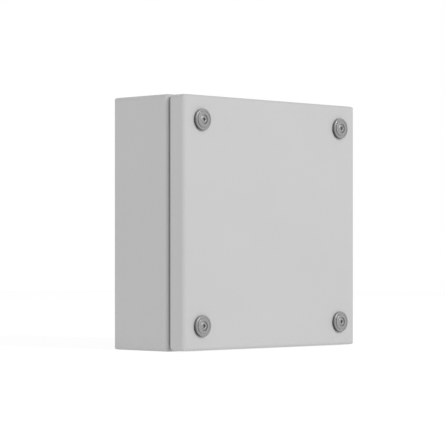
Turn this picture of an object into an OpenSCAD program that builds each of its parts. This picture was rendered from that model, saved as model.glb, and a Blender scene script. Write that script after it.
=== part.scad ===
// Sheet steel terminal box with a screwed cover.
// The origin is the centre of the rear face, which lies on the wall. +Z is up, and the cover faces -Y.

/* [Enclosure] */
// Overall width of the box
box_w = 200; // [180:1:400]
// Overall height of the box
box_h = 200; // [180:1:400]
// Overall depth, from the wall to the front of the cover
box_d = 80; // [70:1:155]
// Thickness of the sheet steel
sheet_t = 1.25; // [1:0.05:1.5]
// Outer radius of the folds round the body's rear edges
rear_fold_r = 3.5; // [2.5:0.1:5]
// Outer radius of the folds round the body's front edges
front_fold_r = 3; // [2.5:0.1:6]
// Outer radius of the welded and ground corners, seen from the front
corner_r = 3.5; // [2.5:0.1:5]

/* [Rim] */
// From the side of the body to the outer face of the rim
gutter_w = 9; // [8:0.1:10]
// Outer corner radius of the rim
rim_corner_r = 8; // [5:0.5:10]
// Inner radius of the fold at the foot of the rim
rim_fold_r = 1; // [0.6:0.1:1.5]

/* [Cover] */
// Depth of the cover, from its edge to its front face
cover_depth = 15; // [12:0.5:20]
// How far the sides of the cover lie inside the sides of the body
cover_inset = 0.8; // [0.2:0.1:1.5]
// Gap between the edge of the cover and the shoulder of the body
cover_gap = 2.8; // [0.6:0.1:3.5]
// Outer radius of the folds round the front of the cover
cover_fold_r = 3; // [2.5:0.1:6]

/* [Cover seal] */
// Width of the foamed seal
seal_w = 6.4; // [5:0.1:7]
// Height of the seal, pressed down by the rim
seal_h = 4.3; // [3:0.1:6]
// Radius of the seal's lower edges
seal_edge_r = 1.4; // [0.5:0.1:1.8]

/* [Cover screws] */
// From the sides of the box to the axis of a cover screw
screw_inset = 20; // [19:0.5:24]
// Thread diameter of a cover screw
screw_d = 4; // [3.5:0.1:4.5]
// Diameter of the waist that keeps the screw in its ferrule
waist_d = 2.9; // [2.4:0.1:3]
// Diameter of the screw head
head_d = 7; // [6.4:0.1:7.2]
// Height of the screw head at its edge
head_h = 2.4; // [2:0.1:2.8]
// Rise of the domed top of the head
head_dome = 0.6; // [0.3:0.1:1]
// Key width of the hexagon socket
socket_af = 3; // [2:0.1:3.4]
// Depth of the hexagon socket
socket_depth = 2; // [1:0.1:2.2]
// How far the tip of the screw stands out behind its nut
screw_past_nut = 3.2; // [1:0.1:5]
// How far the thread reaches in front of the body's shoulder
thread_past_shoulder = 1; // [0:0.1:3]

/* [Screw ferrules] */
// Diameter of the ferrule's flange
flange_d = 17; // [16.6:0.1:20]
// Thickness of the flange
flange_h = 2.5; // [1.8:0.1:3]
// Diameter of the boss on the flange
boss_d = 12.4; // [11.6:0.1:13]
// Height of the boss above the flange
boss_h = 0.6; // [0.4:0.1:1.8]
// Play round the head in its seat
head_play = 0.15; // [0.1:0.05:0.5]
// How far the middle of the head stands out of the boss
head_proud = 0.2; // [0:0.05:0.4]
// Width of the turned relief groove round the foot of the boss
relief_w = 0.7; // [0.4:0.1:1.2]
// Depth of the relief groove
relief_depth = 0.3; // [0.2:0.1:0.7]
// Diameter of the bore that the screw's thread is passed through once
ferrule_bore_d = 3.4; // [3.2:0.1:3.4]
// Radius round the edge of the flange
flange_edge_r = 1; // [0.3:0.1:1.2]
// Radius round the edge of the boss
boss_r = 0.4; // [0.3:0.1:1]
// How far the spigot stands out behind its push-on ring
spigot_past_ring = 0.8; // [0.4:0.1:1.5]
// Diameter of the spigot that passes through the cover
spigot_d = 9; // [8.6:0.1:9.4]
// Radial play of the spigot in the hole of the cover
spigot_play = 0.15; // [0.1:0.05:0.3]
// Outer diameter of the push-on ring behind the cover
ring_d = 13.2; // [11:0.1:13.4]
// Thickness of the push-on ring
ring_t = 1; // [0.6:0.1:1.4]
// From the spigot to the groove of the sealing ring
ferrule_seal_inset = 0.9; // [0.5:0.1:1.2]
// Width of the sealing ring under the flange
ferrule_seal_w = 1.8; // [1:0.1:2]
// Thickness of the sealing ring under the flange, pressed
ferrule_seal_t = 0.6; // [0.4:0.1:0.8]

/* [Corner gussets] */
// Thickness of a gusset plate
gusset_t = 2.5; // [2:0.1:3]
// Length of a gusset along each side of the box
gusset_leg = 29; // [27:1:40]
// Width of the two ends of a gusset
gusset_end_w = 12; // [11:0.5:16]
// Chamfer of a gusset's outer corner
gusset_chamfer = 3; // [1:0.5:5]
// Play between a gusset and the folds of the body
gusset_play = 0.3; // [0.2:0.05:0.5]
// Key width of the weld nut
weld_nut_af = 9; // [8:0.1:10]
// Height of the weld nut's hexagon
weld_nut_h = 3.5; // [3:0.1:5]
// Diameter of the pilot that centres the weld nut in its gusset
pilot_d = 6; // [5.6:0.1:6.4]
// Height of the pilot
pilot_h = 0.7; // [0.5:0.1:1]
// Radial play of the pilot in the gusset
pilot_play = 0.1; // [0.05:0.05:0.2]
// Radial play between a thread and its nut
thread_play = 0.04; // [0.02:0.01:0.08]

/* [Wall holes] */
// Diameter of the holes for the wall screws
wall_hole_d = 7; // [5:0.1:8]
// From the sides of the box to the wall holes
wall_hole_side = 20; // [17:0.5:21]
// From the top and the bottom of the box to the wall holes
wall_hole_end = 50; // [42:0.5:60]

/* [Mounting rails] */
// From the sides of the box to the middles of the two upright rails
rail_side = 45; // [44:0.5:55]
// From the top and bottom of the box to the ends of the upright rails
rail_end_gap = 25; // [20:1:35]
// Width of a rail's raised crown
rail_crown_w = 15; // [14:0.5:18]
// Width of each foot of a rail
rail_foot_w = 8; // [7:0.5:9]
// Height of a rail
rail_h = 10; // [8:0.5:14]
// Thickness of the rail's sheet
rail_t = 1.5; // [1:0.1:2]
// Inner radius of the rail's folds
rail_fold_r = 0.8; // [0.5:0.1:1.2]
// Least land left between the openings and the ends of a rail
rail_land = 2; // [1:0.5:3]
// Distance from one opening in a rail to the next
rail_pitch = 12.5; // [12:0.5:20]
// Diameter of the round openings and width of the slots
rail_hole_d = 4.5; // [4:0.1:5.5]
// Length of the slots, end to end
rail_slot_l = 12; // [8:0.5:14]
// Distance between the spot welds on a foot
weld_pitch = 45; // [30:1:60]
// Diameter of a spot weld's dimple
weld_d = 4.5; // [3:0.1:5]
// Depth of a spot weld's dimple
weld_depth = 0.3; // [0.1:0.05:0.5]

/* [Support rail] */
// Width of the support rail for the terminals
din_w = 35; // [35:1:35]
// Height of the support rail
din_h = 7.5; // [7.5:0.5:15]
// Outer width of the support rail's channel
din_channel_w = 27; // [26:0.5:28]
// Thickness of the support rail
din_t = 1; // [0.8:0.1:1.2]
// How far the support rail reaches past the middles of the upright rails
din_overhang = 18; // [12:1:20]
// Inner radius of the support rail's folds
din_fold_r = 0.8; // [0.5:0.1:1.2]
// Least distance from one slot in the support rail to the next
din_slot_pitch = 27.5; // [20:0.5:40]
// Length of the slots in the support rail, end to end
din_slot_l = 15; // [10:0.5:16]
// Width of the slots in the support rail
din_slot_w = 5.2; // [5.2:0.1:6.2]
// Head diameter of the screws that hold the support rail
din_screw_head_d = 8; // [7.6:0.1:9]
// Head height of the screws that hold the support rail
din_screw_head_h = 2.8; // [2:0.1:3.2]
// Rise of the domed head above its edge
din_screw_dome = 1.6; // [1:0.1:1.8]
// Length of the cross recess
recess_l = 4.6; // [3:0.1:5]
// Width of the cross recess
recess_w = 0.8; // [0.6:0.1:1]
// Depth of the cross recess
recess_depth = 1.6; // [1:0.1:1.8]
// Length of the screws under the head
din_screw_l = 7; // [5:0.5:8]
// Radial play of these screws in the round openings of the upright rails
din_screw_play = 0.15; // [0.1:0.05:0.3]

/* [Earth studs] */
// Thread diameter of the earth studs
stud_d = 6; // [5:0.5:6]
// Length of the stud in the body
body_stud_l = 16; // [14:0.5:20]
// Length of the stud in the cover
cover_stud_l = 12; // [11:0.5:14]
// Diameter of the weld collar at the foot of a stud
collar_d = 7.4; // [7.2:0.1:8]
// Height of the weld collar
collar_h = 0.8; // [0.5:0.1:1.2]
// Outer diameter of the toothed washer
washer_d = 12; // [11:0.1:13]
// Thickness of the toothed washer
washer_t = 0.8; // [0.6:0.1:1.2]
// Radial play of the washer on its stud
washer_play = 0.2; // [0.1:0.05:0.3]
// Length of the washer's teeth
tooth_l = 1.4; // [0.8:0.1:1.6]
// Number of teeth on the washer
washer_teeth = 12; // [8:1:14]
// Key width of the stud nut
stud_nut_af = 10; // [9.5:0.1:10.5]
// Height of the stud nut
stud_nut_h = 5; // [4:0.1:5.5]
// Height of the bevel at the corners of the stud nut
nut_bevel_h = 0.5; // [0.3:0.1:0.8]
// Distance of the body stud from the left side of the box
body_stud_side = 18; // [17:0.5:19]
// Height of the body stud below the middle of the box
body_stud_drop = 20; // [12:1:30]
// Distance of the cover stud from the left side of the box
cover_stud_side = 24; // [22:0.5:28]
// Height of the cover stud below the middle of the box
cover_stud_drop = 40; // [20:1:55]

/* [Hidden] */
$fn = 96;

// How far a cutting shape reaches past the face that it cuts
cut = 1;
// Tip chamfer of the screws and studs
tip = 0.7;

// Radius of the sphere whose cap has diameter d and height rise.
function sphere_r(d, rise) = (d * d / 4 + rise * rise) / (2 * rise);

paint = [0.80, 0.80, 0.80];
steel = [0.62, 0.63, 0.64];
copper = [0.72, 0.52, 0.38];
rubber = [0.16, 0.16, 0.17];

// Depths are measured from the wall towards the viewer.
cover_back = box_d - cover_depth;
cover_inner = box_d - sheet_t;
cover_w = box_w - 2 * cover_inset;
cover_h = box_h - 2 * cover_inset;
shoulder_front = cover_back - cover_gap;
shoulder_back = shoulder_front - sheet_t;
rim_tip = cover_inner - seal_h;
rim_w = box_w - 2 * gutter_w;
rim_h = box_h - 2 * gutter_w;
opening_w = rim_w + 2 * rim_fold_r;
opening_h = rim_h + 2 * rim_fold_r;

screw_x = box_w / 2 - screw_inset;
screw_y = box_h / 2 - screw_inset;
boss_top = box_d + flange_h + boss_h;
seat_d = head_d + 2 * head_play;
head_top = boss_top + head_proud;
seat_floor = head_top - head_h - head_dome;
gusset_back = shoulder_back - gusset_t;
weld_nut_back = gusset_back - weld_nut_h;
screw_tip = weld_nut_back - screw_past_nut;
ring_back = cover_inner - ring_t;
spigot_end = ring_back - spigot_past_ring;
waist_back = shoulder_front + thread_past_shoulder;
seal_groove_r = spigot_d / 2 + ferrule_seal_inset;

rail_x = box_w / 2 - rail_side;
rail_spacing = 2 * rail_x;
rail_l = box_h - 2 * rail_end_gap;
rail_top = sheet_t + rail_h;
rail_web_x = rail_crown_w / 2;
rail_fold_outer = rail_fold_r + rail_t;
rail_slot = min(rail_slot_l, 2 * rail_pitch - rail_hole_d - 2 * rail_land);
rail_places = floor((rail_l / 2 - rail_slot / 2 - rail_land) / rail_pitch);
din_l = rail_spacing + 2 * din_overhang;
din_gaps = floor(rail_spacing / din_slot_pitch);
din_pitch = rail_spacing / din_gaps;
din_screw_d = rail_hole_d - 2 * din_screw_play;

// Turns a shape drawn as seen from the front, with its depth along Z, into the frame of the box.
module on_wall() {
    rotate([90, 0, 0]) children();
}

// The spandrel outside a round of radius r in a corner at the origin that opens to +X and +Y.
module round_off(r) {
    difference() {
        translate([-cut, -cut]) square(r + cut);
        translate([r, r]) circle(r);
    }
}

// A plate section with its lower corner at y = 0, with one radius below and another above.
module rounded_section(w, h, low_r, high_r) {
    difference() {
        translate([-w / 2, 0]) square([w, h]);
        if (low_r > 0) {
            translate([-w / 2, 0]) round_off(low_r);
            translate([w / 2, 0]) rotate(90) round_off(low_r);
        }
        if (high_r > 0) {
            translate([w / 2, h]) rotate(180) round_off(high_r);
            translate([-w / 2, h]) rotate(270) round_off(high_r);
        }
    }
}

// A block whose folds run to mitred corners: rear folds, front folds and corners seen from the front.
module folded_block(w, h, d, rear_r, front_r, side_r) {
    intersection() {
        linear_extrude(d) translate([0, -h / 2]) rounded_section(w, h, side_r, side_r);
        rotate([90, 0, 0]) linear_extrude(h, center = true) rounded_section(w, d, rear_r, front_r);
        rotate([90, 0, 90]) linear_extrude(w, center = true) rounded_section(h, d, rear_r, front_r);
    }
}

// Sweeps a section round a rounded rectangle. In the section X points outwards and Y to the front.
module sweep_round(w, h, r) {
    for (turn = [0, 180]) rotate(turn) {
        translate([w / 2, 0, 0]) rotate([90, 0, 0]) linear_extrude(h - 2 * r, center = true) children();
        translate([0, h / 2, 0]) rotate(90) rotate([90, 0, 0])
            linear_extrude(w - 2 * r, center = true) children();
        translate([w / 2 - r, h / 2 - r, 0]) rotate_extrude(angle = 90) translate([r, 0]) children();
        translate([r - w / 2, h / 2 - r, 0]) rotate(90) rotate_extrude(angle = 90)
            translate([r, 0]) children();
    }
}

// A quarter of a bent sheet's section round the origin, in the quadrant -X, -Y.
module bent_quarter(inner_r, t) {
    intersection() {
        difference() {
            circle(inner_r + t);
            circle(inner_r);
        }
        translate([-inner_r - t - cut, -inner_r - t - cut]) square(inner_r + t + cut);
    }
}

// Folded and welded body with its shoulder and the rim that presses into the seal.
module rim_section() {
    translate([rim_fold_r, shoulder_front + rim_fold_r]) bent_quarter(rim_fold_r, sheet_t);
    translate([-sheet_t, shoulder_front + rim_fold_r])
        square([sheet_t, rim_tip - shoulder_front - rim_fold_r]);
}

module body_shell() {
    difference() {
        folded_block(box_w, box_h, shoulder_front, rear_fold_r, front_fold_r, corner_r);
        translate([0, 0, sheet_t]) folded_block(
            box_w - 2 * sheet_t, box_h - 2 * sheet_t, shoulder_front - 2 * sheet_t,
            rear_fold_r - sheet_t, front_fold_r - sheet_t, corner_r - sheet_t);
        translate([0, -opening_h / 2, shoulder_back - cut]) linear_extrude(sheet_t + 2 * cut)
            rounded_section(opening_w, opening_h, rim_corner_r + rim_fold_r, rim_corner_r + rim_fold_r);
    }
}

module enclosure_body() {
    color(paint) on_wall() difference() {
        union() {
            body_shell();
            sweep_round(rim_w, rim_h, rim_corner_r) rim_section();
        }
        for (x = [-1, 1], y = [-1, 1])
            translate([x * (box_w / 2 - wall_hole_side), y * (box_h / 2 - wall_hole_end), -cut])
                cylinder(d = wall_hole_d, h = sheet_t + 2 * cut);
    }
}

// Pressed cover: a shallow tray that is open to the rear, with a hole for each ferrule.
module cover() {
    color(paint) on_wall() difference() {
        translate([0, 0, cover_back])
            folded_block(cover_w, cover_h, cover_depth, 0, cover_fold_r, corner_r);
        translate([0, 0, cover_back - cut]) folded_block(
            cover_w - 2 * sheet_t, cover_h - 2 * sheet_t, cover_depth - sheet_t + cut,
            0, cover_fold_r - sheet_t, corner_r - sheet_t);
        for (x = [-1, 1], y = [-1, 1]) translate([x * screw_x, y * screw_y, cover_inner - cut])
            cylinder(d = spigot_d + 2 * spigot_play, h = sheet_t + 2 * cut);
    }
}

// Foamed seal: a bead on the inside of the cover with a flat land where the rim presses.
module cover_seal() {
    color(rubber) on_wall()
        sweep_round(rim_w - sheet_t, rim_h - sheet_t, rim_corner_r - sheet_t / 2)
        translate([0, rim_tip]) rounded_section(seal_w, seal_h, seal_edge_r, 0);
}

module at_corner(side_x, side_y) {
    translate([side_x * screw_x, side_y * screw_y, 0]) children();
}

// Captive screw: domed head with a hexagon socket, a waist, and a thread that starts behind the ferrule.
module cover_screw(side_x, side_y) {
    dome_r = sphere_r(head_d, head_dome);
    color(steel) on_wall() at_corner(side_x, side_y) difference() {
        union() {
            intersection() {
                translate([0, 0, seat_floor]) cylinder(d = head_d, h = head_h + head_dome);
                translate([0, 0, head_top - dome_r]) sphere(dome_r);
            }
            translate([0, 0, waist_back - cut]) cylinder(d = waist_d, h = seat_floor - waist_back + 2 * cut);
            translate([0, 0, screw_tip + tip]) cylinder(d = screw_d, h = waist_back - screw_tip - tip);
            translate([0, 0, screw_tip]) cylinder(d1 = screw_d - 2 * tip, d2 = screw_d, h = tip);
        }
        translate([0, 0, head_top - socket_depth])
            cylinder(d = socket_af / cos(30), h = socket_depth + cut, $fn = 6);
    }
}

// Turned ferrule that guides the screw: flange and boss in front of the cover, spigot through it.
module ferrule_section() {
    flange_top = box_d + flange_h;
    difference() {
        union() {
            translate([0, box_d]) square([flange_d / 2, flange_h]);
            translate([0, spigot_end]) square([spigot_d / 2, flange_top - spigot_end]);
            translate([0, box_d + cut / 2]) square([boss_d / 2, boss_top - box_d - cut / 2]);
        }
        translate([flange_d / 2, flange_top]) rotate(180) round_off(flange_edge_r);
        translate([boss_d / 2, boss_top]) rotate(180) round_off(boss_r);
        translate([-cut, seat_floor]) square([seat_d / 2 + cut, head_top - seat_floor + cut]);
        translate([-cut, spigot_end - cut])
            square([ferrule_bore_d / 2 + cut, seat_floor - spigot_end + 2 * cut]);
        translate([seal_groove_r, box_d - cut]) square([ferrule_seal_w, ferrule_seal_t + cut]);
        translate([boss_d / 2, flange_top - relief_depth]) square([relief_w, relief_depth + cut]);
    }
}

module screw_ferrule(side_x, side_y) {
    color(steel) on_wall() at_corner(side_x, side_y) rotate_extrude() ferrule_section();
}

// Sealing ring in the groove under a ferrule's flange.
module ferrule_seal(side_x, side_y) {
    color(rubber) on_wall() at_corner(side_x, side_y) translate([0, 0, box_d]) difference() {
        cylinder(r = seal_groove_r + ferrule_seal_w, h = ferrule_seal_t);
        translate([0, 0, -cut]) cylinder(r = seal_groove_r, h = ferrule_seal_t + 2 * cut);
    }
}

// Push-on ring that holds a ferrule from behind the cover.
module lock_ring(side_x, side_y) {
    color(steel) on_wall() at_corner(side_x, side_y) translate([0, 0, ring_back]) difference() {
        cylinder(d = ring_d, h = ring_t);
        translate([0, 0, -cut]) cylinder(d = spigot_d, h = ring_t + 2 * cut);
    }
}

// Gusset plate welded behind the shoulder, across a corner of the throat, to carry the weld nut.
module gusset_outline() {
    outer_x = box_w / 2 - max(front_fold_r, corner_r) - gusset_play;
    outer_y = box_h / 2 - max(front_fold_r, corner_r) - gusset_play;
    low_x = outer_x - gusset_leg;
    low_y = outer_y - gusset_leg;
    polygon([
        [outer_x, low_y], [outer_x, outer_y - gusset_chamfer], [outer_x - gusset_chamfer, outer_y],
        [low_x, outer_y], [low_x, outer_y - gusset_end_w], [outer_x - gusset_end_w, low_y]
    ]);
}

module corner_gusset(side_x, side_y) {
    color(paint) on_wall() mirror([side_x < 0 ? 1 : 0, 0, 0]) mirror([0, side_y < 0 ? 1 : 0, 0])
        difference() {
            translate([0, 0, gusset_back]) linear_extrude(gusset_t) gusset_outline();
            translate([screw_x, screw_y, gusset_back - cut])
                cylinder(d = pilot_d + 2 * pilot_play, h = gusset_t + 2 * cut);
        }
}

// Hexagon weld nut behind a gusset, with its pilot in the gusset's hole.
module weld_nut(side_x, side_y) {
    color(steel) on_wall() at_corner(side_x, side_y) difference() {
        union() {
            translate([0, 0, weld_nut_back]) cylinder(d = weld_nut_af / cos(30), h = weld_nut_h, $fn = 6);
            translate([0, 0, gusset_back]) cylinder(d = pilot_d, h = pilot_h);
        }
        translate([0, 0, weld_nut_back - cut])
            cylinder(d = screw_d + 2 * thread_play, h = weld_nut_h + pilot_h + 2 * cut);
    }
}

// Hat section of an upright rail, half of it on +X: foot, lower fold, web, upper fold and crown.
module rail_half_section() {
    translate([rail_web_x + rail_fold_r, 0]) square([rail_foot_w, rail_t]);
    translate([rail_web_x + rail_fold_r, rail_fold_outer]) bent_quarter(rail_fold_r, rail_t);
    translate([rail_web_x - rail_t, rail_fold_outer])
        square([rail_t, rail_h - 2 * rail_fold_outer]);
    translate([rail_web_x - rail_fold_outer, rail_h - rail_fold_outer])
        rotate(180) bent_quarter(rail_fold_r, rail_t);
    translate([-cut, rail_h - rail_t]) square([rail_web_x - rail_fold_outer + cut, rail_t]);
}

module slot(l, w, h) {
    for (side = [-1, 1]) translate([0, side * (l - w) / 2, 0]) cylinder(d = w, h = h);
    translate([-w / 2, (w - l) / 2, 0]) cube([w, l - w, h]);
}

module mounting_rail(side_x) {
    foot_middle = rail_web_x + rail_fold_r + rail_foot_w / 2;
    color(paint) on_wall() translate([side_x * rail_x, 0, sheet_t]) difference() {
        rotate([90, 0, 0]) linear_extrude(rail_l, center = true) {
            rail_half_section();
            mirror([1, 0]) rail_half_section();
        }
        for (place = [-rail_places : rail_places]) translate([0, place * rail_pitch, rail_h - rail_t - cut])
            if (place % 2 == 0) cylinder(d = rail_hole_d, h = rail_t + 2 * cut);
            else slot(rail_slot, rail_hole_d, rail_t + 2 * cut);
        for (side = [-1, 1], step = [-1 : 1])
            translate([side * foot_middle, step * weld_pitch, rail_t - weld_depth])
                cylinder(d1 = weld_d - 2 * weld_depth, d2 = weld_d + 2 * cut, h = weld_depth + cut);
    }
}

// Support rail for the terminals: a top hat section with its channel screwed on to the upright rails.
module din_half_section() {
    outer_r = din_fold_r + din_t;
    web_x = din_channel_w / 2;
    translate([-cut, 0]) square([web_x - outer_r + cut, din_t]);
    translate([web_x - outer_r, outer_r]) mirror([1, 0]) bent_quarter(din_fold_r, din_t);
    translate([web_x - din_t, outer_r]) square([din_t, din_h - 2 * outer_r]);
    translate([web_x + din_fold_r, din_h - outer_r]) mirror([0, 1]) bent_quarter(din_fold_r, din_t);
    translate([web_x + din_fold_r, din_h - din_t]) square([din_w / 2 - web_x - din_fold_r, din_t]);
}

module support_rail() {
    color(steel) on_wall() translate([0, 0, rail_top]) difference() {
        rotate([90, 0, 90]) linear_extrude(din_l, center = true) {
            din_half_section();
            mirror([1, 0]) din_half_section();
        }
        for (place = [0 : din_gaps]) translate([place * din_pitch - rail_x, 0, -cut]) rotate(90)
            slot(din_slot_l, din_slot_w, din_t + 2 * cut);
    }
}

// Pan head screw through a slot of the support rail into a round opening of the upright rail.
module rail_screw(side_x) {
    head_back = rail_top + din_t;
    head_top = head_back + din_screw_head_h;
    dome_r = sphere_r(din_screw_head_d, din_screw_dome);
    color(steel) on_wall() translate([side_x * rail_x, 0, 0]) difference() {
        union() {
            intersection() {
                translate([0, 0, head_back]) cylinder(d = din_screw_head_d, h = din_screw_head_h);
                translate([0, 0, head_top - dome_r]) sphere(dome_r);
            }
            translate([0, 0, head_back - din_screw_l + tip])
                cylinder(d = din_screw_d, h = din_screw_l - tip + cut);
            translate([0, 0, head_back - din_screw_l])
                cylinder(d1 = din_screw_d - 2 * tip, d2 = din_screw_d, h = tip);
        }
        for (turn = [0, 90]) translate([0, 0, head_top - recess_depth]) rotate(turn)
            translate([-recess_l / 2, -recess_w / 2, 0]) cube([recess_l, recess_w, recess_depth + cut]);
    }
}

// Weld stud at the origin that grows along +Z from the sheet, with a weld collar and a chamfered tip.
module earth_stud(l) {
    color(copper) {
        cylinder(d = collar_d, h = collar_h);
        cylinder(d = stud_d, h = l - tip);
        translate([0, 0, l - tip]) cylinder(d1 = stud_d, d2 = stud_d - 2 * tip, h = tip);
    }
}

module toothed_washer() {
    tooth_w = PI * washer_d / washer_teeth / 2;
    color(steel) translate([0, 0, collar_h]) difference() {
        cylinder(d = washer_d, h = washer_t);
        translate([0, 0, -cut]) cylinder(d = stud_d + 2 * washer_play, h = washer_t + 2 * cut);
        for (tooth = [0 : washer_teeth - 1]) rotate(tooth * 360 / washer_teeth)
            translate([washer_d / 2 - tooth_l, -tooth_w / 2, -cut])
                cube([tooth_l + cut, tooth_w, washer_t + 2 * cut]);
    }
}

module stud_nut() {
    corner_d = stud_nut_af / cos(30);
    outer_d = corner_d + cut;
    color(steel) translate([0, 0, collar_h + washer_t]) difference() {
        intersection() {
            cylinder(d = corner_d, h = stud_nut_h, $fn = 6);
            union() {
                cylinder(d1 = stud_nut_af, d2 = outer_d, h = nut_bevel_h);
                translate([0, 0, nut_bevel_h]) cylinder(d = outer_d, h = stud_nut_h - 2 * nut_bevel_h);
                translate([0, 0, stud_nut_h - nut_bevel_h])
                    cylinder(d1 = outer_d, d2 = stud_nut_af, h = nut_bevel_h);
            }
        }
        translate([0, 0, -cut]) cylinder(d = stud_d + 2 * thread_play, h = stud_nut_h + 2 * cut);
    }
}

module at_body_stud() {
    on_wall() translate([body_stud_side - box_w / 2, -body_stud_drop, sheet_t]) children();
}

module at_cover_stud() {
    on_wall() translate([cover_stud_side - box_w / 2, -cover_stud_drop, cover_inner]) rotate([180, 0, 0])
        children();
}

enclosure_body();
cover();
cover_seal();
cover_screw(-1, 1);  // cover_screw_tl
cover_screw(1, 1);  // cover_screw_tr
cover_screw(-1, -1);  // cover_screw_bl
cover_screw(1, -1);  // cover_screw_br
screw_ferrule(-1, 1);  // screw_ferrule_tl
screw_ferrule(1, 1);  // screw_ferrule_tr
screw_ferrule(-1, -1);  // screw_ferrule_bl
screw_ferrule(1, -1);  // screw_ferrule_br
ferrule_seal(-1, 1);  // ferrule_seal_tl
ferrule_seal(1, 1);  // ferrule_seal_tr
ferrule_seal(-1, -1);  // ferrule_seal_bl
ferrule_seal(1, -1);  // ferrule_seal_br
lock_ring(-1, 1);  // lock_ring_tl
lock_ring(1, 1);  // lock_ring_tr
lock_ring(-1, -1);  // lock_ring_bl
lock_ring(1, -1);  // lock_ring_br
corner_gusset(-1, 1);  // corner_gusset_tl
corner_gusset(1, 1);  // corner_gusset_tr
corner_gusset(-1, -1);  // corner_gusset_bl
corner_gusset(1, -1);  // corner_gusset_br
weld_nut(-1, 1);  // weld_nut_tl
weld_nut(1, 1);  // weld_nut_tr
weld_nut(-1, -1);  // weld_nut_bl
weld_nut(1, -1);  // weld_nut_br
mounting_rail(-1);  // mounting_rail_left
mounting_rail(1);  // mounting_rail_right
support_rail();
rail_screw(-1);  // rail_screw_left
rail_screw(1);  // rail_screw_right
at_body_stud() earth_stud(body_stud_l);  // body_earth_stud
at_body_stud() toothed_washer();  // body_earth_washer
at_body_stud() stud_nut();  // body_earth_nut
at_cover_stud() earth_stud(cover_stud_l);  // cover_earth_stud
at_cover_stud() toothed_washer();  // cover_earth_washer
at_cover_stud() stud_nut();  // cover_earth_nut
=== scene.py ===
"""A sheet steel terminal box on a pale floor, made in the order in which the real box is put together."""

import math

import bmesh
import bpy
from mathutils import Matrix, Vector


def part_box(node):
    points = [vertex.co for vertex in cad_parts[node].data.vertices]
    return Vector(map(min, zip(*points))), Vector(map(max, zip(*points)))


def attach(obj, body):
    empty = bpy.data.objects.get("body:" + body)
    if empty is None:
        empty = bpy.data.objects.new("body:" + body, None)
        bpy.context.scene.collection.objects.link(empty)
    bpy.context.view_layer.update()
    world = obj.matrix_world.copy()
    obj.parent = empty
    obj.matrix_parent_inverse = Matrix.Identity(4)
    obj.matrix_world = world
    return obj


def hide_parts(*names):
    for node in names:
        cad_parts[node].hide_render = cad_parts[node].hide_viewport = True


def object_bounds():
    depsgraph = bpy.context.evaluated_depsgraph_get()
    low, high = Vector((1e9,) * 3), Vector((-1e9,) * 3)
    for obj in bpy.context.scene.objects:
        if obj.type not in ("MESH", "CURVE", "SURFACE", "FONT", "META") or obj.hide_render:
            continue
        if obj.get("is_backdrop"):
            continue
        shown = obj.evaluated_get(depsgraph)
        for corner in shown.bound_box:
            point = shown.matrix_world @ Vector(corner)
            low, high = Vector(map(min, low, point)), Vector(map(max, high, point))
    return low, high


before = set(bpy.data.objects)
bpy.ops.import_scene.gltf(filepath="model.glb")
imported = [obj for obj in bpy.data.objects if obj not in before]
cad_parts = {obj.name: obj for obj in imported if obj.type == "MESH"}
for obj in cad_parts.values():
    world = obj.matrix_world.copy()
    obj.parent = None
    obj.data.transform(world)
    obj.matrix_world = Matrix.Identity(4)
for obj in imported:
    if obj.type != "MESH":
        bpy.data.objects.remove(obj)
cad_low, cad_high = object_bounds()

# Camera: a long lens about a third of the way up the box, at 45 degrees between its front and left side.
# The lens is level, so the upright edges stay upright, and its plate is shifted to hold the box in view.
IMAGE_PX = 444
FOCAL_PX = 2107.1
HORIZON_ROW_PX = 259.97
SENSOR_WIDTH_MM = 36.0
CAMERA_AZIMUTH = math.radians(-45.191)
CAMERA_DISTANCE = 1.7455
CAMERA_SIDESTEP = 0.01614
CAMERA_HEIGHT = -0.02881

scene = bpy.context.scene
scene.view_settings.view_transform = "Standard"
towards_camera = Vector((math.sin(CAMERA_AZIMUTH), -math.cos(CAMERA_AZIMUTH), 0))
camera_right = Vector((math.cos(CAMERA_AZIMUTH), math.sin(CAMERA_AZIMUTH), 0))
camera = bpy.data.objects.new("camera", bpy.data.cameras.new("camera"))
camera.location = towards_camera * CAMERA_DISTANCE + camera_right * CAMERA_SIDESTEP
camera.location.z = CAMERA_HEIGHT
camera.rotation_euler = (-towards_camera).to_track_quat("-Z", "Y").to_euler()
camera.data.sensor_width = SENSOR_WIDTH_MM
camera.data.lens = FOCAL_PX / IMAGE_PX * SENSOR_WIDTH_MM
camera.data.shift_y = HORIZON_ROW_PX / IMAGE_PX - 0.5
scene.collection.objects.link(camera)
scene.camera = camera


# Studio: a pale floor and a pale sky, plain white to the lens and in reflections but dimmer as lights.
# The floor keeps a faint shadow, and the light that it bounces on the box is set apart from the white that
# it shows. Two large soft lamps light the front more than the left side.
def linear(hex_colour):
    """The linear red, green, blue and alpha of an sRGB hex value."""
    channels = [int(hex_colour[i:i + 2], 16) / 255 for i in (1, 3, 5)]
    return [c / 12.92 if c <= 0.04045 else ((c + 0.055) / 1.055) ** 2.4 for c in channels] + [1.0]


def add(tree, kind, settings=None, links=None):
    """Adds a node of that kind with its settings, which are properties or socket values, and its links.

    A link's source is an output, or a node that stands for its first output.
    """
    node = tree.nodes.new(kind)
    for name, value in (settings or {}).items():
        if isinstance(name, str) and hasattr(node, name):
            setattr(node, name, value)
        else:
            node.inputs[name].default_value = value
    for name, source in (links or {}).items():
        output = source.outputs[0] if isinstance(source, bpy.types.Node) else source
        tree.links.new(output, node.inputs[name])
    return node


SKY_LIGHT = 0.47
SKY_WHITE, FLOOR_WHITE, FLOOR_PAPER = "#ffffff", "#ffffff", "#f6f6f6"
FLOOR_SIZE = 5.0
FLOOR_BOUNCE = 0.25
FLOOR_SHOWN_SHADOW = 0.32
FLOOR_SHOWN_WHITE = 1.22


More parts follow.
